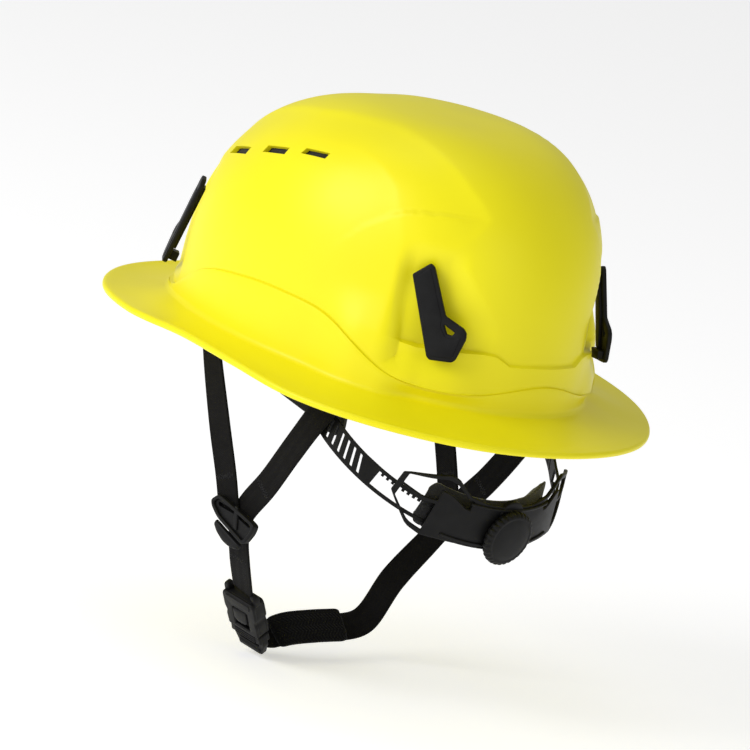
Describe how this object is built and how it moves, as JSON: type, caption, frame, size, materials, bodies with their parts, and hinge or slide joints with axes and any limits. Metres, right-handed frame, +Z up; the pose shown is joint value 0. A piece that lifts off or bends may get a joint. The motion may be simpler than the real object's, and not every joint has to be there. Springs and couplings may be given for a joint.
{
  "type": "safety helmet",
  "caption": "Full-brim rescue and work helmet with lamp clips, ratchet nape cradle and four-point chin harness.",
  "frame": {"origin": "middle of the headband, where the wearer's head sits, at the level of the brim", "axes": "+Z up toward the crown, -Y toward the front peak of the brim, +X toward the wearer's left"},
  "size_m": [0.258, 0.3275, 0.3125],
  "materials": {
    "shell": "semi-gloss",
    "foam": "matt foam",
    "plastic": "satin moulded",
    "grey_plastic": "satin moulded",
    "webbing": "woven",
    "steel": "brushed"
  },
  "bodies": {
    "helmet": {"outer_shell": "shell", "impact_liner": "foam", "crown_pad": "foam", "side_pad_left": "foam", "side_pad_right": "foam", "front_pad": "foam", "rear_pad": "foam", "front_headband": "plastic", "brow_pad": "foam", "temple_hanger_left": "grey_plastic", "temple_hanger_right": "grey_plastic", "lamp_clip_rear_left": "plastic", "lamp_clip_rear_right": "plastic", "lamp_clip_front_left": "plastic", "lamp_clip_front_right": "plastic", "strap_anchor_front_left": "plastic", "strap_anchor_front_right": "plastic", "strap_anchor_rear_left": "plastic", "strap_anchor_rear_right": "plastic", "front_strap_left": "webbing", "front_strap_right": "webbing", "rear_strap_left": "webbing", "rear_strap_right": "webbing", "lower_strap_left": "webbing", "chin_strap": "webbing", "chin_pad": "webbing", "strap_divider_left": "plastic", "strap_divider_right": "plastic", "buckle_receiver": "plastic", "buckle_insert": "plastic"},
    "nape_cradle": {"cradle_housing": "plastic", "cradle_cover": "plastic", "nape_pad": "foam"},
    "left_arm": {"band_arm_left": "plastic"},
    "right_arm": {"band_arm_right": "plastic"},
    "dial": {"dial_knob": "plastic", "drive_pinion": "grey_plastic", "dial_screw": "steel"},
    "left_lever": {"lock_lever_left": "plastic"},
    "right_lever": {"lock_lever_right": "plastic"},
    "button": {"buckle_button": "plastic"}
  },
  "joints": [
    {"name": "nape_slide", "type": "slide", "parent": "helmet", "child": "nape_cradle", "axis": [0, -0.8387, 0.5446], "range_m": [-0.008, 0.016]},
    {"name": "dial_turn", "type": "hinge", "parent": "nape_cradle", "child": "dial", "pos_m": [0, 0.11766, -0.06919], "axis": [0, 0.9781, -0.2079], "range_deg": [-320, 160]},
    {"name": "left_arm_feed", "type": "hinge", "parent": "nape_cradle", "child": "left_arm", "pos_m": [0, 0.0504, -0.0264], "axis": [0, 0.5446, 0.8387], "range_deg": [-6, 12]},
    {"name": "right_arm_feed", "type": "hinge", "parent": "nape_cradle", "child": "right_arm", "pos_m": [0, 0.0504, -0.0264], "axis": [0, 0.5446, 0.8387], "range_deg": [-12, 6]},
    {"name": "left_lever_turn", "type": "hinge", "parent": "helmet", "child": "left_lever", "pos_m": [0.0861, 0.0021, -0.1053], "axis": [0, -0.9337, 0.358], "range_deg": [0, 70]},
    {"name": "right_lever_turn", "type": "hinge", "parent": "helmet", "child": "right_lever", "pos_m": [-0.0861, 0.0021, -0.1053], "axis": [0, 0.9337, -0.358], "range_deg": [0, 70]},
    {"name": "button_press", "type": "slide", "parent": "helmet", "child": "button", "axis": [-0.5662, -0.1742, -0.8057], "range_m": [0, 0.003], "stiffness_N_per_m": 120}
  ],
  "couplings": [
    {"joint": "dial_turn", "follows": "nape_slide", "rad_per_m": -345},
    {"joint": "left_arm_feed", "follows": "nape_slide", "rad_per_m": 12.5},
    {"joint": "right_arm_feed", "follows": "nape_slide", "rad_per_m": -12.5}
  ]
}
